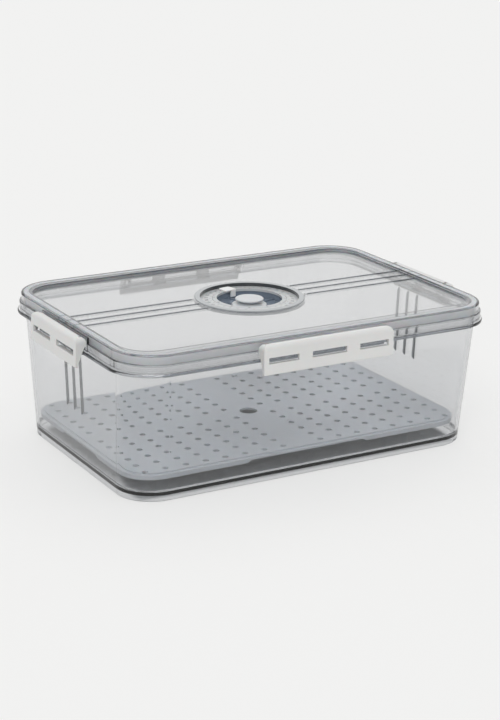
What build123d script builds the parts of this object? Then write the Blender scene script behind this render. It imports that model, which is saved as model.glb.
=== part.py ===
"""Food container with a raised drain tray, a four-latch lid and a turning freshness dial.

Millimetres, +Z up. The long side runs along X and the front is -Y. The foot stands on z = 0.
Each physical piece is built in place and written to its own STEP file under parts/.
"""
import math
import os

from build123d import *

# Overall sizes
LID_LENGTH = 310.0
LID_WIDTH = 217.4
LID_CORNER = 32.2
TOP_Z = 114.0

# Container
FOOT_IN_X = 6.9
FOOT_IN_Y = 12.5
FOOT_LENGTH = LID_LENGTH - 2 * FOOT_IN_X
FOOT_WIDTH = LID_WIDTH - 2 * FOOT_IN_Y
FOOT_CORNER = LID_CORNER - 3.9
FOOT_HEIGHT = 4.0
FLOOR_THICK = 2.4
WALL = 2.2
GAP = 0.3
FLOOR_Z = FOOT_HEIGHT + FLOOR_THICK
RIM_LENGTH = LID_LENGTH - 6.2
RIM_WIDTH = LID_WIDTH - 6.2
RIM_CORNER = LID_CORNER - 3.1
FLANGE_Z = TOP_Z - 16.0
FLANGE_THICK = 2.4
FLANGE_OUT_X = 3.2
FLANGE_OUT_Y = 1.7
SIDE_LINE_PITCH = 13.0
SIDE_LINE_LOW = 44.0
SIDE_LINE_WIDTH = 1.3
SIDE_LINE_DEPTH = 1.7

# Lid
LID_SHELL = 2.0
SKIRT_Z = TOP_Z - 13.0
BAND_TOP_Z = TOP_Z - 7.0
BAND_OUT = 1.4
RECESS_MARGIN_X = 7.0
RECESS_MARGIN_Y = 11.7
RECESS_DEPTH = 2.0
PANEL_Z = TOP_Z - RECESS_DEPTH
CHANNEL_WIDTH = 4.0
CHANNEL_WALL = 1.6
CHANNEL_DEPTH = 6.0
SEAL_WIDTH = CHANNEL_WIDTH - 0.2
SEAL_HIGH_Z = PANEL_Z
SEAL_LOW_Z = PANEL_Z - CHANNEL_DEPTH
UPSTAND_Z = SEAL_LOW_Z - GAP
RIDGE_PITCH = 13.0
RIDGE_WIDTH = 1.2
RIDGE_HEIGHT = 0.5
RIDGE_DEPTH = 1.2

# Latches: profile in (u, z), where u is the distance out from the lid's outer wall
AXIS_OUT = 4.5
AXIS_Z = TOP_Z - 6.0
BARREL_R = 4.2
PANEL_THICK = 2.2
LATCH_LOW_Z = TOP_Z - 23.8
LATCH_CORNER = 4.5
LONG_LATCH = 110.0
SHORT_LATCH = 80.0
SHORT_SHIFT = 1.7
CHEEK = 3.0
BRACKET_THICK = 2.6
BRACKET_R = 2.2
POCKET_R = 3.1
PEG_R = 1.50
PEG_CLEARANCE = 0.08
PEG_REACH = 1.7
HOOK_TOP_Z = FLANGE_Z - GAP
HOOK_HEIGHT = 2.6
HOOK_CLEARANCE = 0.2
LUG_OUT = 4.2
WINDOW_LOW_Z = FLANGE_Z + 0.2
WINDOW_HEIGHT = 4.7
LONG_END_BAR = 4.1
LONG_MID_WINDOW = 29.4
LONG_BAR = 11.2
SHORT_END_BAR = 4.3
SHORT_BAR = 10.6

# Drain tray
TRAY_CLEAR_X = 1.9
TRAY_CLEAR_Y = 3.8
TRAY_LENGTH = FOOT_LENGTH - 2 * WALL - 2 * TRAY_CLEAR_X
TRAY_WIDTH = FOOT_WIDTH - 2 * WALL - 2 * TRAY_CLEAR_Y
TRAY_CORNER = FOOT_CORNER - WALL - 2.1
TRAY_TOP_Z = FLOOR_Z + 12.9
TRAY_THICK = 1.6
TRAY_LIP = 4.3
TRAY_STEP = 3.2
TRAY_STEP_DROP = 1.0
ARCH_HALF = 49.0
ARCH_HALF_SHORT = 28.0
ARCH_HEIGHT = 1.9
HOLE_D = 5.0
HOLE_PITCH_X = 16.4
HOLE_PITCH_Y = 14.1
HOLE_FIRST_Y = 10.4
HOLE_EDGE = 8.5
HOLE_COLUMNS = int((TRAY_LENGTH / 2 - HOLE_EDGE) / HOLE_PITCH_X)
HOLE_ROWS = 1 + int((TRAY_WIDTH / 2 - HOLE_EDGE - HOLE_FIRST_Y) / HOLE_PITCH_Y)
FINGER_HOLE_D = 14.0
LEG_R = 4.2
TRAY_RIB_DEPTH = 3.6
TRAY_RIB_THICK = 1.4

# Dial and vent, from the well outwards
WELL_R = 25.4
POINTER_R = WELL_R + 3.2
DATE_INNER_R = POINTER_R + GAP
DATE_BAND = 9.1
DIAL_R = DATE_INNER_R + DATE_BAND
BEZEL_R = DIAL_R + 4.5
CUP_FLANGE_R = DIAL_R + 3.3
POINTER_TIP_R = DATE_INNER_R + 3.7
BEZEL_HEIGHT = 0.9
BEZEL_SLEEVE = 0.7
BEZEL_DEPTH = 1.6
CUP_TOP_Z = TOP_Z - 4.6
CUP_FLANGE_THICK = 1.5
CUP_WALL = 1.6
CUP_LOW_Z = TOP_Z - 10.2
CUP_FLOOR = 1.6
COLLAR_WALL = 1.9
RING_GAP = 0.2
RING_SLOPE_IN = TOP_Z - 2.6
RING_SLOPE_OUT = TOP_Z - 3.9
TUCK = 1.2
SPOKES = 8
SPOKE_HEIGHT = 0.8
VENT_HOLE_R = 1.6
VENT_HOLE_AT = 8.5
HUB_R = 5.2
STEM_R = 2.90
STEM_CLEARANCE = 0.08
KNOB_R = 11.0
KNOB_TOP_Z = TOP_Z - 2.7
FLARE_R = 13.4
VENT_SEAL_THICK = 0.5
KNOB_LIFT = 4.0
POINTER_ANGLE = 99.0


def outline(length, width, radius, z):
    """A rounded rectangle on the plane at height z."""
    return Plane.XY.offset(z) * RectangleRounded(length, width, radius)


def slab(length, width, radius, low, high):
    """A rounded rectangular block from z = low to z = high."""
    return extrude(outline(length, width, radius, low), amount=high - low)


def hoop(outer, inner, low, high):
    """A rounded rectangular frame; outer and inner are (length, width, radius)."""
    return slab(*outer, low, high) - slab(*inner, low - 1, high + 1)


def grown(size, by):
    """A (length, width, radius) outline pushed out by the given distance."""
    return (size[0] + 2 * by, size[1] + 2 * by, size[2] + by)


def disc(radius, low, high):
    """A round block from z = low to z = high."""
    return extrude(Plane.XY.offset(low) * Circle(radius), amount=high - low)


def washer(outer, inner, low, high):
    """A round ring from z = low to z = high."""
    face = Plane.XY.offset(low) * (Circle(outer) - Circle(inner))
    return extrude(face, amount=high - low)


def block(x0, x1, y0, y1, z0, z1):
    """A box between two corners."""
    centre = Location(((x0 + x1) / 2, (y0 + y1) / 2, (z0 + z1) / 2))
    return centre * Box(abs(x1 - x0), abs(y1 - y0), abs(z1 - z0))


def wall_slice(z, inset):
    """The container wall's outline at height z, inset from its outer face."""
    t = z / FLANGE_Z
    length = FOOT_LENGTH + (RIM_LENGTH - FOOT_LENGTH) * t
    width = FOOT_WIDTH + (RIM_WIDTH - FOOT_WIDTH) * t
    radius = FOOT_CORNER + (RIM_CORNER - FOOT_CORNER) * t
    return outline(length - 2 * inset, width - 2 * inset, radius - inset, z)


def window_pair(start, end):
    """Two windows as (centre, width), mirrored about the latch's middle."""
    centre = (start + end) / 2
    return ((-centre, end - start), (centre, end - start))


def sides():
    """The four latch sides: name, wall distance, turn about Z, latch length, windows, shift."""
    half_x = LID_LENGTH / 2
    half_y = LID_WIDTH / 2
    outer = window_pair(LONG_MID_WINDOW / 2 + LONG_BAR, LONG_LATCH / 2 - LONG_END_BAR)
    long_windows = (outer[0], (0.0, LONG_MID_WINDOW), outer[1])
    short_windows = window_pair(SHORT_BAR / 2, SHORT_LATCH / 2 - SHORT_END_BAR)
    return (
        ("front", half_y, 0, LONG_LATCH, long_windows, 0.0),
        ("right", half_x, 90, SHORT_LATCH, short_windows, SHORT_SHIFT),
        ("back", half_y, 180, LONG_LATCH, long_windows, 0.0),
        ("left", half_x, 270, SHORT_LATCH, short_windows, SHORT_SHIFT),
    )


def placed(shape, wall, turn):
    """Moves a shape drawn with u = -y from the wall to its side of the lid."""
    return Rot(0, 0, turn) * Pos(0, -wall, 0) * shape


def across(points, x0, x1):
    """Extrudes a closed (u, z) outline along the latch from x0 to x1."""
    plane = Plane(origin=(x0, 0, 0), x_dir=(0, -1, 0), z_dir=(-1, 0, 0))
    face = plane * make_face(Polyline(*points, close=True))
    return extrude(face, amount=x1 - x0, dir=(1, 0, 0))


def rod(u, z, radius, x0, x1):
    """A round rod along the latch, centred on (u, z)."""
    centre = Location(((x0 + x1) / 2, -u, z), (0, 90, 0))
    return centre * Cylinder(radius, abs(x1 - x0))


def container_body():
    """The tapered box with its foot ring, flange, catch lugs and sealing upstand."""
    shell = loft([wall_slice(0, 0), wall_slice(FLANGE_Z + 0.01, 0)])
    low_edges = shell.edges().filter_by_position(Axis.Z, -0.01, 0.01)
    shell = fillet(low_edges, 1.2)
    flange = slab(
        LID_LENGTH + 2 * FLANGE_OUT_X,
        LID_WIDTH + 2 * FLANGE_OUT_Y,
        LID_CORNER + 2.0,
        FLANGE_Z,
        FLANGE_Z + FLANGE_THICK,
    )
    flange = fillet(flange.edges().filter_by(Plane.XY), 0.7)
    upstand = slab(RIM_LENGTH, RIM_WIDTH, RIM_CORNER, FLANGE_Z, UPSTAND_Z)
    body = shell + flange + upstand
    for _, wall, turn, length, _, shift in sides():
        reach = LUG_OUT + shift
        half = length / 2 - CHEEK - 1.6
        lug = block(-half, half, 3.0, -reach, FLANGE_Z, FLANGE_Z + FLANGE_THICK)
        lug = fillet(lug.edges().filter_by(Axis.Z), 1.0)
        body = body + placed(lug, wall, turn)
    hollow = loft([wall_slice(FLOOR_Z, WALL), wall_slice(FLANGE_Z, WALL)])
    floor_edges = hollow.edges().filter_by_position(Axis.Z, FLOOR_Z - 0.01, FLOOR_Z + 0.01)
    hollow = fillet(floor_edges, 3.0)
    mouth = slab(
        RIM_LENGTH - 2 * WALL, RIM_WIDTH - 2 * WALL, RIM_CORNER - WALL, FLANGE_Z - 0.01, TOP_Z
    )
    foot_gap = slab(FOOT_LENGTH - 7, FOOT_WIDTH - 7, FOOT_CORNER - 3.5, -1, FOOT_HEIGHT)
    body = body - hollow - mouth - foot_gap
    return body + side_lines()


def side_lines():
    """Three fine upright ribs inside each short wall, below the latch."""
    lean = (RIM_LENGTH - FOOT_LENGTH) / 2 / FLANGE_Z
    low = FOOT_LENGTH / 2 + lean * SIDE_LINE_LOW - WALL
    high = FOOT_LENGTH / 2 + lean * FLANGE_Z - WALL
    points = (
        (low + 0.6, SIDE_LINE_LOW),
        (low - 0.4, SIDE_LINE_LOW + 0.4),
        (low - SIDE_LINE_DEPTH, SIDE_LINE_LOW + 2.5),
        (high - SIDE_LINE_DEPTH, FLANGE_Z - 4.0),
        (high - 0.4, FLANGE_Z - 1.0),
        (high + 0.6, FLANGE_Z - 1.0),
    )
    half = SIDE_LINE_WIDTH / 2
    ribs = Part()
    for turn in (90, 270):
        for k in (-1, 0, 1):
            rib = across(points, k * SIDE_LINE_PITCH - half, k * SIDE_LINE_PITCH + half)
            ribs = ribs + Rot(0, 0, turn) * rib
    return ribs


def lid_outer():
    """The lid's outline as (length, width, radius)."""
    return (LID_LENGTH, LID_WIDTH, LID_CORNER)


def lid():
    """The shallow lid with its raised rim, seal channel, dial seat and hinge brackets."""
    outer = lid_outer()
    recess = (
        LID_LENGTH - 2 * RECESS_MARGIN_X,
        LID_WIDTH - 2 * RECESS_MARGIN_Y,
        LID_CORNER - 8.0,
    )
    channel_out = grown(outer, -LID_SHELL)
    channel_in = grown(channel_out, -CHANNEL_WIDTH)
    cap = slab(*outer, SKIRT_Z, TOP_Z)
    cap = fillet(cap.edges().filter_by_position(Axis.Z, TOP_Z - 0.01, TOP_Z + 0.01), 1.6)
    band = slab(*grown(outer, BAND_OUT), SKIRT_Z, BAND_TOP_Z)
    band = fillet(band.edges().filter_by(Plane.XY), 0.6)
    for _, wall, turn, length, _, shift in sides():
        half = length / 2 + 0.6
        bare = block(-half, half, 0, -4, SKIRT_Z - 1, TOP_Z)
        band = band - placed(bare, wall, turn)
    body = cap + band
    body = body - slab(*channel_out, SKIRT_Z - 1, PANEL_Z)
    body = body - slab(*recess, PANEL_Z, TOP_Z + 1)
    body = body + slab(*channel_in, PANEL_Z - LID_SHELL, PANEL_Z)
    lip_low = PANEL_Z - CHANNEL_DEPTH - LID_SHELL
    lip = hoop(channel_in, grown(channel_in, -CHANNEL_WALL), lip_low, PANEL_Z - 0.5)
    body = body + lip
    body = body + lid_ridges()
    collar_low = CUP_TOP_Z - CUP_FLANGE_THICK
    body = body + washer(CUP_FLANGE_R + COLLAR_WALL, CUP_FLANGE_R, collar_low, PANEL_Z - 1)
    body = body - disc(DIAL_R + BEZEL_SLEEVE, PANEL_Z - 5, TOP_Z)
    for _, wall, turn, length, _, shift in sides():
        body = body + placed(brackets(length, shift), wall, turn)
    return body


def lid_ridges():
    """Three fine lines along the panel on each side of the dial."""
    start = BEZEL_R + 1.6
    end = LID_LENGTH / 2 - RECESS_MARGIN_X - 2.0
    half = RIDGE_WIDTH / 2
    ridges = Part()
    for side in (-1, 1):
        for k in (-1, 0, 1):
            y = k * RIDGE_PITCH
            first = math.sqrt(start * start - y * y)
            x0 = side * first
            x1 = side * end
            low = PANEL_Z - LID_SHELL - RIDGE_DEPTH
            ridges = ridges + block(x0, x1, y - half, y + half, low, PANEL_Z + RIDGE_HEIGHT)
    return ridges


def brackets(length, shift):
    """Two hinge brackets with outward pegs, and the pad behind a short latch."""
    axis = AXIS_OUT + shift
    cheek_in = length / 2 - CHEEK
    root_low = SKIRT_Z
    root_high = SKIRT_Z + 3.5
    result = Part()
    for side in (-1, 1):
        x0 = side * (cheek_in - 0.4 - BRACKET_THICK)
        x1 = side * (cheek_in - 0.4)
        low, high = min(x0, x1), max(x0, x1)
        plate = across(bracket_outline(axis, shift - 0.8, root_low, root_high), low, high)
        peg_end = side * (cheek_in + PEG_REACH)
        result = result + plate + rod(axis, AXIS_Z, BRACKET_R, low, high)
        result = result + rod(axis, AXIS_Z, PEG_R, (low + high) / 2, peg_end)
    if shift > 0:
        half = length / 2
        pad = block(-half, half, 1.0, -(shift - 0.2), SKIRT_Z, TOP_Z - 2.4)
        result = result + pad
    return result


def bracket_outline(axis, root_u, root_low, root_high):
    """The straight-sided part of a bracket, tangent to the round nose on the axis."""
    points = [(root_u, root_low), (root_u, root_high)]
    for root, sign in (((root_u, root_high), 1), ((root_u, root_low), -1)):
        du = axis - root[0]
        dz = AXIS_Z - root[1]
        reach = math.hypot(du, dz)
        lead = math.atan2(dz, du)
        spread = math.acos(BRACKET_R / reach)
        angle = lead + math.pi + (-spread if sign > 0 else spread)
        points.append((axis + BRACKET_R * math.cos(angle), AXIS_Z + BRACKET_R * math.sin(angle)))
    return points


def latch(length, windows, shift):
    """One latch: barrel, flared panel with windows, two cheeks and a hook for each window."""
    axis = AXIS_OUT + shift
    half = length / 2
    front = axis + BARREL_R
    low = LATCH_LOW_Z
    inner = front - PANEL_THICK
    barrel = rod(axis, AXIS_Z, BARREL_R, -half, half)
    panel_points = (
        (front, AXIS_Z),
        (front + 0.1, low + 9),
        (front + 0.4, low + 0.7),
        (front + 0.1, low),
        (inner + 0.8, low),
        (inner + 0.3, low + 1.5),
        (inner + 0.1, low + 9),
        (inner, AXIS_Z),
    )
    panel = across(panel_points, -half, half)
    cheek_points = (
        (axis, AXIS_Z),
        (front - 1, AXIS_Z),
        (front - 0.6, low + 9),
        (inner + 1.0, low + 1.6),
        (inner + 0.4, low + 2.0),
        (axis - 1.4, AXIS_Z - 5.4),
        (axis - 3.2, AXIS_Z - 2.6),
    )
    body = barrel + panel
    for side in (-1, 1):
        x0 = side * (half - CHEEK)
        x1 = side * half
        body = body + across(cheek_points, min(x0, x1), max(x0, x1))
    body = round_latch_ends(body, half)
    for side in (-1, 1):
        body = body - bracket_pocket(side, half, axis)
    hook_low = HOOK_TOP_Z - HOOK_HEIGHT
    tip = LUG_OUT + HOOK_CLEARANCE + shift
    for centre, width in windows:
        x0, x1 = centre - width / 2, centre + width / 2
        body = body - block(x0, x1, -(axis + 1), -(front + 2), WINDOW_LOW_Z, WINDOW_LOW_Z + WINDOW_HEIGHT)
        hook = (
            (front - 1.0, HOOK_TOP_Z),
            (tip, HOOK_TOP_Z),
            (tip, HOOK_TOP_Z - 1.0),
            (tip + 0.9, hook_low),
            (front - 1.0, hook_low),
        )
        body = body + across(hook, x0, x1)
    return body


def round_latch_ends(body, half):
    """Rounds the latch's two upper corners, seen from the front."""
    below = 12.0
    top = AXIS_Z + BARREL_R
    height = top - LATCH_LOW_Z + below
    plane = Plane(origin=(0, 20, top - height / 2), x_dir=(1, 0, 0), z_dir=(0, -1, 0))
    keep = extrude(plane * RectangleRounded(2 * half, height, LATCH_CORNER), amount=40)
    return body & keep


def bracket_pocket(side, half, axis):
    """The room a latch leaves for one hinge bracket and its peg."""
    inner = half - CHEEK
    x0 = side * (inner - BRACKET_THICK - 0.8)
    x1 = side * inner
    low, high = min(x0, x1), max(x0, x1)
    room = block(low, high, 5, -axis - 0.1, LATCH_LOW_Z + 8, TOP_Z)
    room = room + rod(axis, AXIS_Z, POCKET_R, low, high)
    bore = rod(axis, AXIS_Z, PEG_R + PEG_CLEARANCE, side * (inner - 1), side * (inner + PEG_REACH + 0.3))
    return room + bore


def lid_seal():
    """The soft ring that sits in the lid's channel."""
    inset = LID_SHELL + (CHANNEL_WIDTH - SEAL_WIDTH) / 2
    outer = grown(lid_outer(), -inset)
    ring = hoop(outer, grown(outer, -SEAL_WIDTH), SEAL_LOW_Z, SEAL_HIGH_Z)
    low_edges = ring.edges().filter_by_position(Axis.Z, SEAL_LOW_Z - 0.01, SEAL_LOW_Z + 0.01)
    ring = fillet(low_edges, 1.1)
    nick = 0.5
    middle = grown(outer, -(SEAL_WIDTH / 2 - 0.5))
    groove = hoop(middle, grown(middle, -1.0), SEAL_LOW_Z - 0.1, SEAL_LOW_Z + nick)
    return ring - groove


def hole_points():
    """Centres of the drain holes: a square grid with its middle column and middle band left out."""
    points = []
    for i in range(1, HOLE_COLUMNS + 1):
        for j in range(HOLE_ROWS):
            x = i * HOLE_PITCH_X
            y = HOLE_FIRST_Y + j * HOLE_PITCH_Y
            points += [(x, y), (-x, y), (x, -y), (-x, -y)]
    return points


def drain_tray():
    """The flat perforated tray with a turned-down lip, ribs and six round legs."""
    low = TRAY_TOP_Z - TRAY_THICK
    outer = (TRAY_LENGTH, TRAY_WIDTH, TRAY_CORNER)
    face = outline(*outer, low)
    circle = Circle(HOLE_D / 2)
    cutters = [Pos(x, y, low) * circle for x, y in hole_points()]
    cutters.append(Pos(0, 0, low) * Circle(FINGER_HOLE_D / 2))
    plate = extrude(face, amount=TRAY_THICK)
    plate = plate - extrude(Sketch() + cutters, amount=TRAY_THICK)
    step_low = TRAY_TOP_Z - TRAY_STEP_DROP
    step = hoop(grown(outer, 1), grown(outer, -TRAY_STEP), step_low, TRAY_TOP_Z + 1)
    lip = hoop(outer, grown(outer, -1.6), TRAY_TOP_Z - TRAY_LIP, step_low)
    under = hoop(grown(outer, -1.0), grown(outer, -TRAY_STEP - 1.5), low - 0.6, low + 0.2)
    body = plate + lip + under - step - tray_arches()
    body = body + tray_ribs(low) + tray_legs(low)
    return body


def tray_arches():
    """The shallow arches cut up into the middle of the lip on all four sides."""
    base = TRAY_TOP_Z - TRAY_LIP
    slope = ARCH_HEIGHT * 1.6
    arches = Part()
    for turn, wall, half in (
        (0, TRAY_WIDTH / 2, ARCH_HALF),
        (180, TRAY_WIDTH / 2, ARCH_HALF),
        (90, TRAY_LENGTH / 2, ARCH_HALF_SHORT),
        (270, TRAY_LENGTH / 2, ARCH_HALF_SHORT),
    ):
        points = (
            (-half - slope, base - 1),
            (-half - slope, base),
            (-half, base + ARCH_HEIGHT),
            (half, base + ARCH_HEIGHT),
            (half + slope, base),
            (half + slope, base - 1),
        )
        plane = Plane(origin=(0, -wall + 2, 0), x_dir=(1, 0, 0), z_dir=(0, -1, 0))
        arch = extrude(plane * make_face(Polyline(*points, close=True)), amount=3.0)
        arches = arches + Rot(0, 0, turn) * arch
    return arches


def tray_ribs(low):
    """Long ribs under the plate, between the rows of holes."""
    half = HOLE_COLUMNS * HOLE_PITCH_X - 1
    ribs = Part()
    for sign in (-1, 1):
        for j in (0, 2):
            y = sign * (HOLE_FIRST_Y + (j + 0.5) * HOLE_PITCH_Y)
            thick = TRAY_RIB_THICK / 2
            ribs = ribs + block(-half, half, y - thick, y + thick, low - TRAY_RIB_DEPTH, low + 0.2)
    return ribs


def tray_legs(low):
    """Six hollow round legs that stand the tray on the container's floor."""
    x = (HOLE_COLUMNS - 1.5) * HOLE_PITCH_X
    y = HOLE_FIRST_Y + (HOLE_ROWS - 2.5) * HOLE_PITCH_Y
    legs = Part()
    for px, py in ((x, y), (-x, y), (x, -y), (-x, -y), (0, y), (0, -y)):
        leg = washer(LEG_R, LEG_R - 1.4, FLOOR_Z + 0.05, low + 0.2)
        legs = legs + Pos(px, py, 0) * leg
    return legs


def vent_cup():
    """The tinted well: flange, wall, floor with vent holes, low spokes and a bored hub."""
    floor = CUP_LOW_Z + CUP_FLOOR
    cup = washer(CUP_FLANGE_R, WELL_R, CUP_TOP_Z - CUP_FLANGE_THICK, CUP_TOP_Z)
    cup = cup + washer(WELL_R + CUP_WALL, WELL_R, CUP_LOW_Z, CUP_TOP_Z)
    cup = cup + disc(WELL_R + CUP_WALL, CUP_LOW_Z, floor)
    cup = cup + disc(HUB_R, CUP_LOW_Z - 1.2, floor)
    spoke = block(FLARE_R + 0.8, WELL_R + 0.5, -0.7, 0.7, floor - 0.2, floor + SPOKE_HEIGHT)
    for k in range(SPOKES):
        cup = cup + Rot(0, 0, k * 360 / SPOKES + 11) * spoke
    cup = cup - disc(STEM_R + STEM_CLEARANCE, CUP_LOW_Z - 3, CUP_TOP_Z)
    for k in range(4):
        hole = Pos(VENT_HOLE_AT, 0, 0) * disc(VENT_HOLE_R, CUP_LOW_Z - 3, CUP_TOP_Z)
        cup = cup - Rot(0, 0, k * 90 + 45) * hole
    return cup


def dial_bezel():
    """The clear ring around the dial, with a sleeve that lines the hole in the lid's panel."""
    ring = washer(BEZEL_R, DIAL_R, PANEL_Z, PANEL_Z + BEZEL_HEIGHT)
    sleeve = washer(DIAL_R + BEZEL_SLEEVE, DIAL_R, PANEL_Z - BEZEL_DEPTH, PANEL_Z + 0.2)
    ring = ring + sleeve
    top = PANEL_Z + BEZEL_HEIGHT
    crown = ring.edges().filter_by_position(Axis.Z, top - 0.01, top + 0.01)
    return chamfer(crown, 0.35)


def turned(points):
    """A ring turned about the dial's centre from a closed (radius, z) outline."""
    return revolve(make_face(Plane.XZ * Polyline(*points, close=True)), Axis.Z)


def slope_z(radius):
    """The height of the dial's sloping face at a radius."""
    t = (radius - WELL_R) / (DIAL_R - 0.7 - WELL_R)
    return RING_SLOPE_IN + (RING_SLOPE_OUT - RING_SLOPE_IN) * t


def date_ring():
    """The light sloping ring that turns to the day; its edge is tucked under the bezel's sleeve."""
    low = CUP_TOP_Z + RING_GAP
    edge = DIAL_R - 0.7
    tuck_top = PANEL_Z - BEZEL_DEPTH - 0.3
    points = (
        (DATE_INNER_R + TUCK, low),
        (DIAL_R + 0.5, low),
        (DIAL_R + 0.5, tuck_top),
        (edge, tuck_top),
        (DATE_INNER_R, slope_z(DATE_INNER_R)),
        (DATE_INNER_R, low + 0.9),
        (DATE_INNER_R + TUCK, low + 0.9),
    )
    return turned(points)


def pointer_ring():
    """The inner ring with its pointer: a plate over the date ring and a leg down into the well."""
    low = CUP_TOP_Z + RING_GAP
    points = (
        (WELL_R, low),
        (DATE_INNER_R + TUCK - 0.3, low),
        (DATE_INNER_R + TUCK - 0.3, low + 0.6),
        (POINTER_R, low + 0.6),
        (POINTER_R, slope_z(POINTER_R)),
        (WELL_R, slope_z(WELL_R)),
    )
    plate_low = slope_z(DATE_INNER_R) + 0.35
    plate_high = plate_low + 0.9
    plate = block(WELL_R - 2.2, POINTER_TIP_R, -5.2, 5.2, plate_low, plate_high)
    plate = chamfer(plate.edges().filter_by(Axis.Z).sort_by(Axis.X)[-2:], 1.2)
    post = block(WELL_R + 0.1, POINTER_R - 0.3, -5.2, 5.2, plate_low - 1.2, plate_low + 0.1)
    leg = block(WELL_R - 2.2, WELL_R - 1.0, -4.9, -0.4, TOP_Z - 7.5, plate_high)
    tab = plate + post + leg
    return turned(points) + Rot(0, 0, POINTER_ANGLE) * tab


def knob_seat():
    """The height of the underside of the knob's flare when the vent is shut."""
    return CUP_LOW_Z + CUP_FLOOR + GAP + VENT_SEAL_THICK


def vent_knob():
    """The mushroom knob: a rounded disc on a wide flare, and a stem with a snap head."""
    seat = knob_seat()
    top = KNOB_TOP_Z
    head_top = CUP_LOW_Z - 1.2 - KNOB_LIFT - GAP
    points = (
        (0, top),
        (KNOB_R - 0.6, top),
        (KNOB_R, top - 0.5),
        (KNOB_R, top - 1.1),
        (KNOB_R - 0.6, top - 1.6),
        (7.4, top - 2.0),
        (6.8, top - 2.5),
        (6.8, seat + 2.1),
        (8.6, seat + 1.4),
        (FLARE_R - 0.5, seat + 0.6),
        (FLARE_R, seat + 0.3),
        (FLARE_R, seat),
        (STEM_R, seat),
        (STEM_R, head_top),
        (3.9, head_top),
        (3.9, head_top - 0.8),
        (2.6, head_top - 2.4),
        (0, head_top - 2.4),
    )
    return turned(points)


def vent_seal():
    """The soft washer under the knob's flare that covers the vent holes."""
    high = knob_seat()
    return washer(FLARE_R - 0.8, STEM_R, high - VENT_SEAL_THICK, high)


def build_all():
    """Every piece by node name."""
    parts = {
        "container_body": container_body(),
        "drain_tray": drain_tray(),
        "lid": lid(),
        "lid_seal": lid_seal(),
        "vent_cup": vent_cup(),
        "dial_bezel": dial_bezel(),
        "date_ring": date_ring(),
        "pointer_ring": pointer_ring(),
        "vent_knob": vent_knob(),
        "vent_seal": vent_seal(),
    }
    for name, wall, turn, length, windows, shift in sides():
        parts["latch_" + name] = placed(latch(length, windows, shift), wall, turn)
    return parts


os.makedirs("parts", exist_ok=True)
for node, shape in build_all().items():
    solids = shape.solids()
    box = shape.bounding_box()
    print(node, len(solids), "solid(s)", round(sum(s.volume for s in solids) / 1000, 2), "cm3",
          [round(v, 2) for v in (*box.min, *box.max)])
    export_step(solids[0] if len(solids) == 1 else Compound(children=solids), f"parts/{node}.step")
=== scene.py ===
"""A clear food container with a drain tray, four latches and a turning freshness dial.

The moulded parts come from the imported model. This file gives each one its real plastic, prints the
numbers and tick marks on the dial, and sets up the floor, the lamps and the camera.
"""

import logging
import math
from dataclasses import dataclass
from enum import Enum
from typing import Iterable, Sequence

import bmesh
import bpy
from mathutils import Matrix, Vector

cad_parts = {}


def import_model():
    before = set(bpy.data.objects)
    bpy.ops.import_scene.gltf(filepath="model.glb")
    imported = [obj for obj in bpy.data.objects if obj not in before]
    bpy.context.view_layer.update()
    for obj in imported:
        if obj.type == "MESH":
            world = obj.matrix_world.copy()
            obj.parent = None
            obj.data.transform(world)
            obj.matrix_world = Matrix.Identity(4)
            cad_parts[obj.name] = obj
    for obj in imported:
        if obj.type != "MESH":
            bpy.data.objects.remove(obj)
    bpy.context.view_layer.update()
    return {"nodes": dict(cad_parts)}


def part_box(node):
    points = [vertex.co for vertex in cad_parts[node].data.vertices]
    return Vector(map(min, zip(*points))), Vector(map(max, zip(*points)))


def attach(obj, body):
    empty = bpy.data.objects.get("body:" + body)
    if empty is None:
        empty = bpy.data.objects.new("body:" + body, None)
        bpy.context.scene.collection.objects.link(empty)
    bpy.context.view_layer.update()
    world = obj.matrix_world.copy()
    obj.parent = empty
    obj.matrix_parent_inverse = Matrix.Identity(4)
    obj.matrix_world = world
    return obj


log = logging.getLogger("container")

MM = 0.001

# Nearly all of a noise pattern lies between these two values, so a change is spread between them.
NOISE_LOW = 0.3
NOISE_HIGH = 0.7

# A millimetre count that is far outside the container, where a limit isn't needed.
FAR_OFF = 400.0

# The studio's light, a touch warmer than pure white.
STUDIO_WHITE = (1.0, 1.0, 0.995, 1.0)
PURE_WHITE = (1.0, 1.0, 1.0, 1.0)


class Part(str, Enum):
    """The container's own pieces, by the names that the frame gives them."""

    BODY = "container_body"
    TRAY = "drain_tray"
    LID = "lid"
    SEAL = "lid_seal"
    WELL = "vent_cup"
    BEZEL = "dial_bezel"
    DATE_RING = "date_ring"
    POINTER_RING = "pointer_ring"
    KNOB = "vent_knob"
    KNOB_SEAL = "vent_seal"
    LATCH_FRONT = "latch_front"
    LATCH_BACK = "latch_back"
    LATCH_LEFT = "latch_left"
    LATCH_RIGHT = "latch_right"


def linear(hex_value: str) -> tuple[float, float, float, float]:
    """Turns an sRGB hex value into a linear colour.

    Args:
        hex_value: A colour such as "#D6D7D6".

    Returns:
        The linear red, green and blue, and an alpha of 1.
    """
    parts = [int(hex_value[i:i + 2], 16) / 255 for i in (1, 3, 5)]
    red, green, blue = (c / 12.92 if c <= 0.04045 else ((c + 0.055) / 1.055) ** 2.4 for c in parts)
    return red, green, blue, 1.0


def fresh_tree(owner: bpy.types.Material | bpy.types.World) -> bpy.types.NodeTree:
    """Gives a material or a world an empty node tree.

    Args:
        owner: The new material or world.

    Returns:
        Its node tree, with no nodes.
    """
    owner.use_nodes = True
    owner.node_tree.nodes.clear()
    return owner.node_tree


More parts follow.
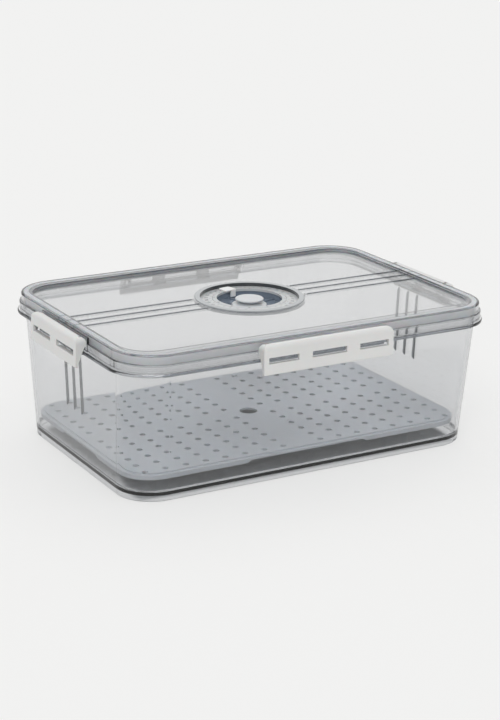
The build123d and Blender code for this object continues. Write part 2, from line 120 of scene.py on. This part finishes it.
def add_node(tree: bpy.types.NodeTree, kind: str, inputs: dict | None = None,
             **settings: str) -> bpy.types.Node:
    """Adds one node, with its inputs set or linked.

    Args:
        tree: The node tree that the node goes into.
        kind: The node's type, such as "ShaderNodeTexNoise".
        inputs: By an input's name or number, its value or the output socket that feeds it.
        settings: The node's own settings, such as operation="MAXIMUM".

    Returns:
        The new node.
    """
    node = tree.nodes.new(kind)
    for name, value in settings.items():
        setattr(node, name, value)
    for name, value in (inputs or {}).items():
        if isinstance(value, bpy.types.NodeSocket):
            tree.links.new(value, node.inputs[name])
        else:
            node.inputs[name].default_value = value
    return node


def maths(tree: bpy.types.NodeTree, operation: str,
          *values: bpy.types.NodeSocket | float) -> bpy.types.NodeSocket:
    """Adds one sum to a node tree.

    Args:
        tree: The node tree.
        operation: The sum, such as "MAXIMUM".
        values: The sockets or numbers that it works on, in order.

    Returns:
        The socket with the result.
    """
    node = add_node(tree, "ShaderNodeMath", dict(enumerate(values)), operation=operation)
    return node.outputs[0]


def all_of(tree: bpy.types.NodeTree, *tests: bpy.types.NodeSocket) -> bpy.types.NodeSocket:
    """Joins tests, each from 0 to 1, into one that is 1 only where they all are."""
    result = tests[0]
    for test in tests[1:]:
        result = maths(tree, "MULTIPLY", result, test)
    return result


def spread(tree: bpy.types.NodeTree, value: bpy.types.NodeSocket, ends: Sequence[float],
           lowest: float = 0.0, highest: float = 1.0) -> bpy.types.NodeSocket:
    """Spreads a change over part of a value's range, and holds it level beyond the ends.

    Args:
        tree: The node tree.
        value: The value that drives the change.
        ends: Where the change starts and ends.
        lowest: The result up to the start.
        highest: The result past the end.

    Returns:
        The socket with the result.
    """
    node = add_node(
        tree, "ShaderNodeMapRange",
        {"Value": value, "From Min": ends[0], "From Max": ends[1], "To Min": lowest, "To Max": highest})
    return node.outputs["Result"]


def mix(tree: bpy.types.NodeTree, kind: str, factor: bpy.types.NodeSocket,
        first: bpy.types.NodeSocket | tuple | float,
        second: bpy.types.NodeSocket | tuple | float) -> bpy.types.NodeSocket:
    """Mixes two numbers or two colours.

    Args:
        tree: The node tree.
        kind: "FLOAT" for numbers or "RGBA" for colours.
        factor: The socket that gives the second one's share.
        first: The number, colour or socket at a factor of 0.
        second: The number, colour or socket at a factor of 1.

    Returns:
        The socket with the result.
    """
    node = add_node(
        tree, "ShaderNodeMix", {"Factor": factor, "A": first, "B": second}, data_type=kind)
    return node.outputs["Result"]


def mix_shaders(tree: bpy.types.NodeTree, factor: bpy.types.NodeSocket,
                first: bpy.types.NodeSocket, second: bpy.types.NodeSocket) -> bpy.types.NodeSocket:
    """Mixes two shaders, of which the factor gives the second one's share."""
    node = add_node(tree, "ShaderNodeMixShader", {"Fac": factor, 1: first, 2: second})
    return node.outputs["Shader"]


def object_place(tree: bpy.types.NodeTree) -> bpy.types.NodeSocket:
    """A point's place on its piece, in metres, which moves with the piece."""
    return add_node(tree, "ShaderNodeTexCoord").outputs["Object"]


def split(tree: bpy.types.NodeTree, place: bpy.types.NodeSocket) -> bpy.types.NodeOutputs:
    """The X, Y and Z of a place, as sockets by name."""
    return add_node(tree, "ShaderNodeSeparateXYZ", {"Vector": place}).outputs


def noise(tree: bpy.types.NodeTree, place: bpy.types.NodeSocket, size_mm: float, detail: float,
          roughness: float) -> bpy.types.NodeSocket:
    """Adds a cloudy pattern.

    Args:
        tree: The node tree.
        place: The place on the piece.
        size_mm: The size of the pattern's patches, in millimetres.
        detail: How many finer layers lie on the first one.
        roughness: How strong each finer layer is beside the last.

    Returns:
        The socket with the pattern.
    """
    node = add_node(
        tree, "ShaderNodeTexNoise",
        {"Vector": place, "Scale": 1 / (size_mm * MM), "Detail": detail, "Roughness": roughness})
    return node.outputs["Fac"]


def relief(tree: bpy.types.NodeTree, height: bpy.types.NodeSocket, strength: float,
           depth_mm: float) -> bpy.types.NodeSocket:
    """Turns a pattern into a shallow relief of the given depth in millimetres."""
    node = add_node(
        tree, "ShaderNodeBump", {"Height": height, "Strength": strength, "Distance": depth_mm * MM})
    return node.outputs["Normal"]


def ray_kinds(tree: bpy.types.NodeTree) -> tuple[bpy.types.NodeSocket, bpy.types.NodeSocket]:
    """Tells the rays that come straight from the camera, and those that a face has bent or mirrored."""
    path = add_node(tree, "ShaderNodeLightPath").outputs
    bent = maths(tree, "MAXIMUM", path["Is Glossy Ray"], path["Is Transmission Ray"])
    return path["Is Camera Ray"], bent


@dataclass(frozen=True)
class MouldedPlastic:
    """An injection-moulded plastic: its colour, gloss, clarity and the fine grain of its mould."""

    name: str
    colour: str
    roughness: float
    grain_mm: float
    grain_depth: float
    flow_mm: float
    tone: float
    transmission: float = 0.0
    ior: float = 1.5
    subsurface: float = 0.0
    subsurface_reach: float = 2.0 * MM
    gloss_drift: float = 0.06
    relief_strength: float = 0.25
    grain_detail: tuple[float, float] = (3.0, 0.6)
    flow_detail: tuple[float, float] = (2.0, 0.45)

    def make(self) -> bpy.types.Material:
        """Builds the node material.

        Returns:
            The finished material.
        """
        material = bpy.data.materials.new(self.name)
        tree = fresh_tree(material)
        place = object_place(tree)
        grain = noise(tree, place, self.grain_mm, *self.grain_detail)
        half_drift = self.gloss_drift / 2
        gloss = spread(
            tree, grain, (NOISE_LOW, NOISE_HIGH),
            max(0.0, self.roughness - half_drift), self.roughness + half_drift)
        shader = add_node(tree, "ShaderNodeBsdfPrincipled", {
            "Base Color": self.paint(tree, place),
            "Roughness": gloss,
            "Normal": relief(tree, grain, self.relief_strength, self.grain_depth),
            "Transmission Weight": self.transmission,
            "IOR": self.ior,
            "Subsurface Weight": self.subsurface,
            "Subsurface Scale": self.subsurface_reach,
        })
        add_node(tree, "ShaderNodeOutputMaterial", {"Surface": shader.outputs["BSDF"]})
        return material

    def paint(self, tree: bpy.types.NodeTree, place: bpy.types.NodeSocket) -> bpy.types.NodeSocket:
        """Gives the colour, which drifts a little along the way that the plastic flowed.

        Args:
            tree: The material's node tree.
            place: The place on the piece.

        Returns:
            The socket with the colour.
        """
        base = linear(self.colour)[:3]
        flow = noise(tree, place, self.flow_mm, *self.flow_detail)
        ramp = add_node(tree, "ShaderNodeValToRGB", {"Fac": flow})
        stops = ((NOISE_LOW, 1 - self.tone), (NOISE_HIGH, 1 + self.tone))
        for element, (position, share) in zip(ramp.color_ramp.elements, stops):
            element.position = position
            element.color = (*(min(1.0, c * share) for c in base), 1.0)
        return ramp.outputs["Color"]


@dataclass(frozen=True)
class TwoToneRing(MouldedPlastic):
    """A round part of the dial, with a second colour inside one radius and above one height: the
    pointer's own white, and on the bezel a painted shade.
    """

    # The second colour: white on the pointer, painted shade on the bezel.
    second: str = "#E6E7E7"
    inside_mm: float = 25.3
    above_mm: float = FAR_OFF

    def paint(self, tree: bpy.types.NodeTree, place: bpy.types.NodeSocket) -> bpy.types.NodeSocket:
        """Lays the second colour into the plastic's own colour; on the bezel that colour is painted
        shade.

        Args:
            tree: The material's node tree.
            place: The place on the piece.

        Returns:
            The socket with the colour.
        """
        flat = add_node(
            tree, "ShaderNodeVectorMath", {0: place, 1: (1.0, 1.0, 0.0)}, operation="MULTIPLY")
        radius = add_node(
            tree, "ShaderNodeVectorMath", {0: flat.outputs["Vector"]}, operation="LENGTH")
        inside = maths(tree, "LESS_THAN", radius.outputs["Value"], self.inside_mm * MM)
        above = maths(tree, "GREATER_THAN", split(tree, place)["Z"], self.above_mm * MM)
        either = maths(tree, "MAXIMUM", inside, above)
        return mix(tree, "RGBA", either, super().paint(tree, place), linear(self.second))


@dataclass(frozen=True)
class FineRibs:
    """Three fine ribs, one in the middle and one on each side, whose tight corners read as dark lines;
    that darkness is painted shade in the colour.

    They run outwards along X, on both sides of the container. All sizes are in millimetres.
    """

    # The colour of the painted shade on the ribs.
    colour: str
    half_width: float
    reach: tuple[float, float]
    height: tuple[float, float]
    lean: float = 0.0
    pitch: float = 13.0

    def mask(self, tree: bpy.types.NodeTree, place: bpy.types.NodeSocket) -> bpy.types.NodeSocket:
        """Finds the ribs.

        Args:
            tree: The material's node tree.
            place: The place on the piece.

        Returns:
            A socket that is 1 on the ribs and 0 elsewhere.
        """
        axes = split(tree, place)
        across = maths(tree, "ABSOLUTE", axes["Y"])
        middle = maths(tree, "LESS_THAN", across, self.half_width * MM)
        side = maths(tree, "COMPARE", across, self.pitch * MM, self.half_width * MM)
        leaning = maths(tree, "MULTIPLY", axes["Z"], self.lean)
        out = maths(tree, "SUBTRACT", maths(tree, "ABSOLUTE", axes["X"]), leaning)
        return all_of(
            tree,
            maths(tree, "MAXIMUM", middle, side),
            maths(tree, "GREATER_THAN", out, self.reach[0] * MM),
            maths(tree, "LESS_THAN", out, self.reach[1] * MM),
            maths(tree, "GREATER_THAN", axes["Z"], self.height[0] * MM),
            maths(tree, "LESS_THAN", axes["Z"], self.height[1] * MM),
        )


@dataclass(frozen=True)
class DarkEdge:
    """A thin edge that runs all round and is painted darker than the faces beside it, as painted shade.

    It lies outside one rectangle and inside another, each given by half its length and width, and
    between two heights. All sizes are in millimetres.
    """

    # The colour of the painted shade on the edge.
    colour: str
    inner: tuple[float, float]
    outer: tuple[float, float]
    height: tuple[float, float]

    def mask(self, tree: bpy.types.NodeTree, place: bpy.types.NodeSocket) -> bpy.types.NodeSocket:
        """Finds the edge.

        Args:
            tree: The material's node tree.
            place: The place on the piece.

        Returns:
            A socket that is 1 on the edge and 0 elsewhere.
        """
        axes = split(tree, place)
        along = maths(tree, "ABSOLUTE", axes["X"])
        across = maths(tree, "ABSOLUTE", axes["Y"])
        past_inner = maths(
            tree, "MAXIMUM",
            maths(tree, "GREATER_THAN", along, self.inner[0] * MM),
            maths(tree, "GREATER_THAN", across, self.inner[1] * MM))
        return all_of(
            tree,
            past_inner,
            maths(tree, "LESS_THAN", along, self.outer[0] * MM),
            maths(tree, "LESS_THAN", across, self.outer[1] * MM),
            maths(tree, "GREATER_THAN", axes["Z"], self.height[0] * MM),
            maths(tree, "LESS_THAN", axes["Z"], self.height[1] * MM),
        )


@dataclass(frozen=True)
class ClearPlastic:
    """A clear moulded plastic: it bends the light at its faces and dims it slowly inside."""

    name: str
    depth_tint: str
    density: float
    ribs: FineRibs
    edge: DarkEdge
    through: str = "#FFFFFF"
    roughness: float = 0.03
    roughness_drift: float = 0.4
    ior: float = 1.56
    lamp_share: str = "#F4F5F6"
    wave_mm: float = 40.0
    wave_depth: float = 0.05
    wave_detail: tuple[float, float] = (1.0, 0.4)
    relief_strength: float = 0.2

    def make(self) -> bpy.types.Material:
        """Builds the node material, which lets the lamps through to what is inside.

        Returns:
            The finished material.
        """
        material = bpy.data.materials.new(self.name)
        tree = fresh_tree(material)
        place = object_place(tree)
        wave = noise(tree, place, self.wave_mm, *self.wave_detail)
        gloss = spread(
            tree, wave, (NOISE_LOW, NOISE_HIGH), self.roughness * (1 - self.roughness_drift),
            self.roughness * (1 + self.roughness_drift))
        colour = linear(self.through)
        # The ribs and the edge band are painted darker here: painted shade laid into the clear
        # plastic's colour.
        for mark in (self.ribs, self.edge):
            colour = mix(tree, "RGBA", mark.mask(tree, place), colour, linear(mark.colour))
        clear = add_node(tree, "ShaderNodeBsdfPrincipled", {
            "Base Color": colour,
            "Roughness": gloss,
            "Normal": relief(tree, wave, self.relief_strength, self.wave_depth),
            "Transmission Weight": 1.0,
            "IOR": self.ior,
        })
        passing = add_node(
            tree, "ShaderNodeBsdfTransparent", {"Color": linear(self.lamp_share)})
        shadow = add_node(tree, "ShaderNodeLightPath").outputs["Is Shadow Ray"]
        dimming = add_node(
            tree, "ShaderNodeVolumeAbsorption",
            {"Color": linear(self.depth_tint), "Density": self.density})
        surface = mix_shaders(tree, shadow, clear.outputs["BSDF"], passing.outputs["BSDF"])
        add_node(
            tree, "ShaderNodeOutputMaterial",
            {"Surface": surface, "Volume": dimming.outputs["Volume"]})
        return material


@dataclass(frozen=True)
class Finishes:
    """Every plastic on the container, named for what it is and how its surface was made."""

    # Clear styrene-acrylonitrile with a faint smoke tint, from a polished mould. The faces stay light
    # and the edges go dark, because the light that runs along the wall is dimmed on the way. The dark
    # lines on the ribs of the short walls and the grey band on the flange under the lid are painted
    # shade.
    wall: ClearPlastic = ClearPlastic(
        "polished_clear_san_smoke", depth_tint="#79818C", density=75.0,
        ribs=FineRibs("#44494E", 0.72, (140.0, 147.2), (44.0, 96.0), lean=0.0388),
        edge=DarkEdge("#979CA2", (156.6, 109.5), (170.0, 120.0), (97.0, 101.0)))
    # The same clear plastic in the lid, whose panel is a little thinner. Its long ridges and the step
    # round its sunken panel are painted grey, as painted shade for the dark lines that they show.
    lid: ClearPlastic = ClearPlastic(
        "polished_clear_san_lid", depth_tint="#7A818B", density=95.0,
        ribs=FineRibs("#7F858B", 0.63, (44.0, FAR_OFF), (111.3, 115.0)),
        edge=DarkEdge("#7F858B", (0.0, 0.0), (149.0, 98.0), (112.7, 113.7)))
    # The ring around the dial, in a milky clear grade: light on top. The inside of its sleeve is
    # painted dark, a painted shade for the shadow in the groove between the bezel and the dial.
    bezel: TwoToneRing = TwoToneRing(
        "polished_milky_san_bezel", "#C9CDD0", roughness=0.14, transmission=0.25, ior=1.56,
        grain_mm=12.0, grain_depth=0.01, flow_mm=60.0, tone=0.01, gloss_drift=0.02,
        second="#3C4044", inside_mm=38.3)
    # Smoke-tinted clear plastic: reads blue-grey inside the well.
    well: MouldedPlastic = MouldedPlastic(
        "polished_tinted_san_well", "#8591A0", roughness=0.12, transmission=0.35, ior=1.49,
        grain_mm=8.0, grain_depth=0.01, flow_mm=30.0, tone=0.03, gloss_drift=0.03)
    # Polypropylene from a lightly blasted mould: even mid grey with a satin sheen.
    tray: MouldedPlastic = MouldedPlastic(
        "satin_moulded_polypropylene_tray", "#C7CBD0", roughness=0.42, subsurface=0.05,
        grain_mm=0.9, grain_depth=0.03, flow_mm=60.0, tone=0.03)
    # ABS from a satin mould: pale warm grey with soft highlights.
    latch: MouldedPlastic = MouldedPlastic(
        "satin_moulded_abs_latch", "#DCDCDB", roughness=0.36, subsurface=0.08,
        grain_mm=0.7, grain_depth=0.02, flow_mm=50.0, tone=0.015)
    # Light grey ABS, smooth and slightly glossy, under the dial's printing.
    dial: MouldedPlastic = MouldedPlastic(
        "smooth_moulded_abs_dial", "#CBCDCE", roughness=0.22, subsurface=0.06,
        grain_mm=0.8, grain_depth=0.01, flow_mm=25.0, tone=0.02)
    # The same ABS on the inner ring, whose pointer stands up in white.
    pointer: TwoToneRing = TwoToneRing(
        "smooth_moulded_abs_pointer", "#C3C6C8", roughness=0.22, subsurface=0.06,
        grain_mm=0.8, grain_depth=0.01, flow_mm=25.0, tone=0.02, second="#EDEDEC", above_mm=111.43)
    # Pale grey ABS with a soft gloss, on the part that a finger and thumb pull.
    knob: MouldedPlastic = MouldedPlastic(
        "smooth_moulded_abs_knob", "#D3D6D8", roughness=0.30, subsurface=0.06,
        grain_mm=0.8, grain_depth=0.01, flow_mm=15.0, tone=0.02)
    # Silicone rubber: whitish, translucent and dull, with no sharp highlight.
    silicone: MouldedPlastic = MouldedPlastic(
        "soft_moulded_silicone", "#EEF0F2", roughness=0.55, subsurface=0.25, ior=1.41,
        grain_mm=0.5, grain_depth=0.03, flow_mm=40.0, tone=0.04)
    # Pad-printed ink: thin, dark grey and dull.
    ink: MouldedPlastic = MouldedPlastic(
        "pad_printed_ink_grey", "#43474C", roughness=0.6, grain_mm=0.3, grain_depth=0.01,
        flow_mm=10.0, tone=0.06)

    def assignments(self) -> dict[Part, MouldedPlastic | ClearPlastic]:
        """Which plastic each piece is moulded in."""
        return {
            Part.BODY: self.wall, Part.TRAY: self.tray, Part.LID: self.lid, Part.SEAL: self.silicone,
            Part.WELL: self.well, Part.BEZEL: self.bezel, Part.DATE_RING: self.dial,
            Part.POINTER_RING: self.pointer, Part.KNOB: self.knob, Part.KNOB_SEAL: self.silicone,
            Part.LATCH_FRONT: self.latch, Part.LATCH_BACK: self.latch,
            Part.LATCH_LEFT: self.latch, Part.LATCH_RIGHT: self.latch,
        }


class Paints:
    """Makes each plastic once and hands it to the pieces that need it."""

    def __init__(self, finishes: Finishes) -> None:
        """Keeps the list of finishes."""
        self.finishes = finishes
        self._made: dict[str, bpy.types.Material] = {}

    def get(self, plastic: MouldedPlastic | ClearPlastic) -> bpy.types.Material:
        """The material for a plastic, made on first use."""
        if plastic.name not in self._made:
            self._made[plastic.name] = plastic.make()
        return self._made[plastic.name]

    def dress(self, obj: bpy.types.Object, plastic: MouldedPlastic | ClearPlastic) -> None:
        """Puts one plastic on a whole piece.

        Args:
            obj: The piece.
            plastic: The plastic that it is moulded in.
        """
        obj.data.materials.clear()
        obj.data.materials.append(self.get(plastic))
        log.info("dressed %s in %s", obj.name, plastic.name)


@dataclass
class MouldedParts:
    """The pieces that come from the frame as they are; only their plastic is new."""

    paints: Paints
    nodes: dict[str, bpy.types.Object]

    def build(self) -> None:
        """Dresses every piece in its plastic."""
        for part, plastic in self.paints.finishes.assignments().items():
            self.paints.dress(self.nodes[part.value], plastic)


@dataclass
class DialPrint:
    """The numbers and tick marks printed on the two sloping rings of the dial."""

    paints: Paints
    days: int = 31
    months: int = 12
    day_radius: float = 33.4 * MM
    day_height: float = 2.6 * MM
    month_radius: float = 27.0 * MM
    month_height: float = 1.6 * MM
    # How much larger the type is set than a figure of it is tall.
    type_size: float = 1.35
    curve_steps: int = 3
    tick_radius: float = 30.4 * MM
    tick_length: float = 1.1 * MM
    tick_width: float = 0.3 * MM
    ink_thickness: float = 0.05 * MM
    # The dial's cone: the radius of its top edge, the radius of its foot, and its fall between them.
    inner_edge: float = 28.9 * MM
    outer_edge: float = 37.3 * MM
    drop: float = 0.918 * MM

    def build(self) -> None:
        """Prints both rings."""
        days = self.numbers("day_numbers", self.days, self.day_radius, self.day_height)
        months = self.numbers("month_numbers", self.months, self.month_radius, self.month_height)
        ticks = self.ticks("day_ticks", self.days, self.tick_radius)
        for piece, body in ((days, "date_ring"), (ticks, "date_ring"), (months, "pointer_ring")):
            self.paints.dress(piece, self.paints.finishes.ink)
            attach(piece, body)
            log.info("printed %s", piece.name)

    def lay_on_slope(self, work: bmesh.types.BMesh) -> None:
        """Lifts every corner of a flat print onto the dial's cone, which falls away outwards.

        Args:
            work: The print, drawn round the centre with its underside at zero.
        """
        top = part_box(Part.DATE_RING.value)[1][2]
        fall = self.drop / (self.outer_edge - self.inner_edge)
        for corner in work.verts:
            radius = math.hypot(corner.co.x, corner.co.y)
            corner.co.z += top - fall * (radius - self.inner_edge)

    def on_dial(self, share: float, radius: float) -> Matrix:
        """The place of one mark, half its thickness up.

        Args:
            share: How far round the dial it is, clockwise, from 0 to 1.
            radius: Its distance from the centre.

        Returns:
            The move from the origin to that place, turned to face outwards.
        """
        turn = Matrix.Rotation(-2 * math.pi * share, 4, "Z")
        return turn @ Matrix.Translation((0, radius, self.ink_thickness / 2))

    def numbers(self, name: str, count: int, radius: float, height: float) -> bpy.types.Object:
        """Sets the numbers 1 to count round the dial, feet towards the centre.

        Args:
            name: The new piece's name.
            count: The highest number.
            radius: The distance of each number's middle from the centre.
            height: The height of a figure.

        Returns:
            One mesh object with all the numbers.
        """
        joined = bmesh.new()
        for number in range(1, count + 1):
            curve = bpy.data.curves.new(f"{name}_{number}", "FONT")
            curve.body = str(number)
            curve.align_x = "CENTER"
            curve.align_y = "CENTER"
            curve.size = height * self.type_size
            curve.extrude = self.ink_thickness / 2
            curve.resolution_u = self.curve_steps
            carrier = bpy.data.objects.new(curve.name, curve)
            bpy.context.collection.objects.link(carrier)
            bpy.context.view_layer.update()
            mesh = bpy.data.meshes.new_from_object(
                carrier.evaluated_get(bpy.context.evaluated_depsgraph_get()))
            mesh.transform(self.on_dial((number - 1) / count, radius))
            joined.from_mesh(mesh)
            bpy.data.objects.remove(carrier)
            bpy.data.curves.remove(curve)
            bpy.data.meshes.remove(mesh)
        self.lay_on_slope(joined)
        return self.finish_mesh(joined, name)

    def ticks(self, name: str, count: int, radius: float) -> bpy.types.Object:
        """Sets short radial marks round the inner edge of the date ring, between the numbers.

        Args:
            name: The new piece's name.
            count: How many marks.
            radius: The distance of each mark's middle from the centre.

        Returns:
            One mesh object with all the marks.
        """
        marks = bmesh.new()
        size = Matrix.Diagonal((self.tick_width, self.tick_length, self.ink_thickness, 1.0))
        for number in range(count):
            place = self.on_dial((number + 0.5) / count, radius)
            bmesh.ops.create_cube(marks, size=1.0, matrix=place @ size)
        self.lay_on_slope(marks)
        return self.finish_mesh(marks, name)

    @staticmethod
    def finish_mesh(work: bmesh.types.BMesh, name: str) -> bpy.types.Object:
        """Turns a bmesh into a linked object with outward faces.

        Args:
            work: The bmesh, which is freed.
            name: The new piece's name.

        Returns:
            The new object, at the origin.
        """
        bmesh.ops.recalc_face_normals(work, faces=work.faces)
        mesh = bpy.data.meshes.new(name)
        work.to_mesh(mesh)
        work.free()
        obj = bpy.data.objects.new(name, mesh)
        bpy.context.collection.objects.link(obj)
        return obj


@dataclass
class Camera:
    """The photographer's camera, solved from the object's outline in the photograph.

    Its azimuth and elevation are in degrees and its roll is in radians. The focal length is in pixels
    of the photograph, whose longer side is the frame's height.
    """

    azimuth: float = -30.09
    elevation: float = 17.761
    distance: float = 1448.08 * MM
    roll: float = 0.015
    target: tuple[float, float, float] = (17.804 * MM, 28.393 * MM, 50.0 * MM)
    focal_pixels: float = 1808.07
    frame_height: int = 720
    sensor: float = 36.0
    nearest: float = 0.05
    farthest: float = 50.0

    def build(self) -> None:
        """Adds the camera and makes it the scene's own."""
        data = bpy.data.cameras.new("studio_camera")
        data.sensor_fit = "AUTO"
        data.sensor_width = self.sensor
        data.lens = self.focal_pixels * self.sensor / self.frame_height
        data.clip_start = self.nearest
        data.clip_end = self.farthest
        camera = bpy.data.objects.new("studio_camera", data)
        bpy.context.collection.objects.link(camera)
        a, e = math.radians(self.azimuth), math.radians(self.elevation)
        back = Vector((math.sin(a) * math.cos(e), -math.cos(a) * math.cos(e), math.sin(e)))
        right = Vector((0, 0, 1)).cross(back).normalized()
        up = back.cross(right)
        c, s = math.cos(self.roll), math.sin(self.roll)
        across, above = c * right + s * up, -s * right + c * up
        turn = Matrix((across, above, back)).transposed().to_4x4()
        camera.matrix_world = Matrix.Translation(Vector(self.target) + back * self.distance) @ turn
        bpy.context.scene.camera = camera


@dataclass(frozen=True)
class SoftLamp:
    """One soft lamp, so far off that it lights the whole floor alike.

    It shines from the direction of its place. Its spread is how wide it looks from the container, in
    degrees, and its strength is in watts per square metre.
    """

    name: str
    place: tuple[float, float, float]
    spread: float
    strength: float

    def build(self) -> None:
        """Hangs the lamp."""
        data = bpy.data.lights.new(self.name, "SUN")
        data.angle = math.radians(self.spread)
        data.energy = self.strength
        lamp = bpy.data.objects.new(self.name, data)
        bpy.context.collection.objects.link(lamp)
        aim = (-Vector(self.place)).to_track_quat("-Z", "Y")
        lamp.matrix_world = Matrix.Translation(self.place) @ aim.to_matrix().to_4x4()


@dataclass
class Studio:
    """The pale floor, the soft surrounding light and the lamps.

    Levels are the brightness of what a ray meets, and lengths are in metres. Each fade gives the two
    values of a ray's direction between which that light comes up: how far it points away, for the
    backdrop, and how far up it points, for the horizon and the overhead light.
    """

    floor_colour: str = "#F1F1F0"
    floor_roughness: float = 0.9
    floor_half: float = 9.0
    floor_share: float = 0.6
    shade_half_x: float = 0.1365
    shade_half_y: float = 0.0845
    shade_edge: float = 0.003
    lit_radius: float = 1.1
    dark_radius: float = 2.2
    seen_level: float = 0.915
    fill_level: float = 0.60
    near_level: float = 0.26
    far_level: float = 0.95
    away: tuple[float, float, float] = (0.50, 0.86, 0.10)
    backdrop_fade: tuple[float, float] = (0.05, 0.35)
    horizon_fade: tuple[float, float] = (0.08, 0.20)
    overhead_fade: tuple[float, float] = (0.55, 0.75)
    lamps: tuple[SoftLamp, ...] = (
        SoftLamp("key_softbox", (-0.8, -1.1, 1.3), 30.0, 1.0),
        SoftLamp("top_softbox", (0.5, 0.9, 1.8), 45.0, 0.5),
    )

    def build(self) -> None:
        """Builds the floor, the world and the lamps, and sets the view transform."""
        self.floor()
        self.world()
        for lamp in self.lamps:
            lamp.build()
        bpy.context.scene.view_settings.view_transform = "Standard"

    def floor(self) -> None:
        """Lays the plain floor at the foot of the container."""
        work = bmesh.new()
        bmesh.ops.create_grid(work, x_segments=1, y_segments=1, size=self.floor_half)
        mesh = bpy.data.meshes.new("studio_floor")
        work.to_mesh(mesh)
        work.free()
        floor = bpy.data.objects.new("studio_floor", mesh)
        bpy.context.collection.objects.link(floor)
        material = bpy.data.materials.new("painted_studio_floor")
        self.paint_floor(fresh_tree(material))
        mesh.materials.append(material)

    def paint_floor(self, tree: bpy.types.NodeTree) -> None:
        """Paints the floor matt and pale, and evens out its light where it is seen.

        Under the container it keeps only the light that reaches it. Far away it is dark, but only to
        the rays that the clear plastic bends or mirrors, which draws that plastic's edges.

        Args:
            tree: The floor's empty node tree.
        """
        place = object_place(tree)
        direct, bent = ray_kinds(tree)
        paint = add_node(tree, "ShaderNodeBsdfPrincipled", {
            "Base Color": linear(self.floor_colour),
            "Roughness": self.floor_roughness,
            "Specular IOR Level": 0.0,
        })
        lit = add_node(
            tree, "ShaderNodeEmission", {"Color": STUDIO_WHITE, "Strength": self.seen_level})
        dim = add_node(
            tree, "ShaderNodeEmission", {"Color": PURE_WHITE, "Strength": self.near_level})
        # Outside a rectangle round the container's foot the floor glows to these rays, a painted light
        # that lightens the shadow there; under the container the rendered shadow stays.
        evened = maths(
            tree, "MULTIPLY", self.clear_of_box(tree, place), maths(tree, "MAXIMUM", direct, bent))
        near = mix_shaders(tree, evened, paint.outputs["BSDF"], lit.outputs["Emission"])
        reach = add_node(tree, "ShaderNodeVectorMath", {0: place}, operation="LENGTH")
        beyond = spread(tree, reach.outputs["Value"], (self.lit_radius, self.dark_radius))
        far = maths(tree, "MULTIPLY", beyond, bent)
        whole = mix_shaders(tree, far, near, dim.outputs["Emission"])
        add_node(tree, "ShaderNodeOutputMaterial", {"Surface": whole})

    def clear_of_box(self, tree: bpy.types.NodeTree,
                     place: bpy.types.NodeSocket) -> bpy.types.NodeSocket:
        """Finds the floor that isn't under the container.

        Args:
            tree: The floor's node tree.
            place: The place on the floor.

        Returns:
            A socket that is the floor's share of even light outside the container and 0 under it.
        """
        axes = split(tree, place)
        outside = maths(
            tree, "MAXIMUM",
            maths(tree, "SUBTRACT", maths(tree, "ABSOLUTE", axes["X"]), self.shade_half_x),
            maths(tree, "SUBTRACT", maths(tree, "ABSOLUTE", axes["Y"]), self.shade_half_y))
        return spread(
            tree, outside, (-self.shade_edge, self.shade_edge), highest=self.floor_share)

    def world(self) -> None:
        """Makes the surroundings: one pale level to the camera, an even fill, and for the clear
        plastic a bright backdrop and a darker room, which draws its edges."""
        world = bpy.data.worlds.new("studio_world")
        tree = fresh_tree(world)
        ray = add_node(tree, "ShaderNodeTexCoord").outputs["Generated"]
        along = add_node(
            tree, "ShaderNodeVectorMath", {0: ray, 1: self.away}, operation="DOT_PRODUCT")
        height = split(tree, ray)["Z"]
        behind = all_of(
            tree,
            spread(tree, along.outputs["Value"], self.backdrop_fade),
            spread(tree, height, self.horizon_fade))
        bright = maths(tree, "MAXIMUM", behind, spread(tree, height, self.overhead_fade))
        room = spread(tree, bright, (0.0, 1.0), self.near_level, self.far_level)
        direct, bent = ray_kinds(tree)
        lit = mix(tree, "FLOAT", bent, self.fill_level, room)
        seen = mix(tree, "FLOAT", direct, lit, self.seen_level)
        back = add_node(tree, "ShaderNodeBackground", {"Color": STUDIO_WHITE, "Strength": seen})
        add_node(tree, "ShaderNodeOutputWorld", {"Surface": back.outputs["Background"]})
        bpy.context.scene.world = world


def main() -> None:
    """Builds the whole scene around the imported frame."""
    logging.basicConfig(level=logging.INFO, format="%(name)s: %(message)s")
    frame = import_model()
    paints = Paints(Finishes())
    Camera().build()
    MouldedParts(paints, frame["nodes"]).build()
    DialPrint(paints).build()
    Studio().build()


if __name__ == "__main__":
    main()
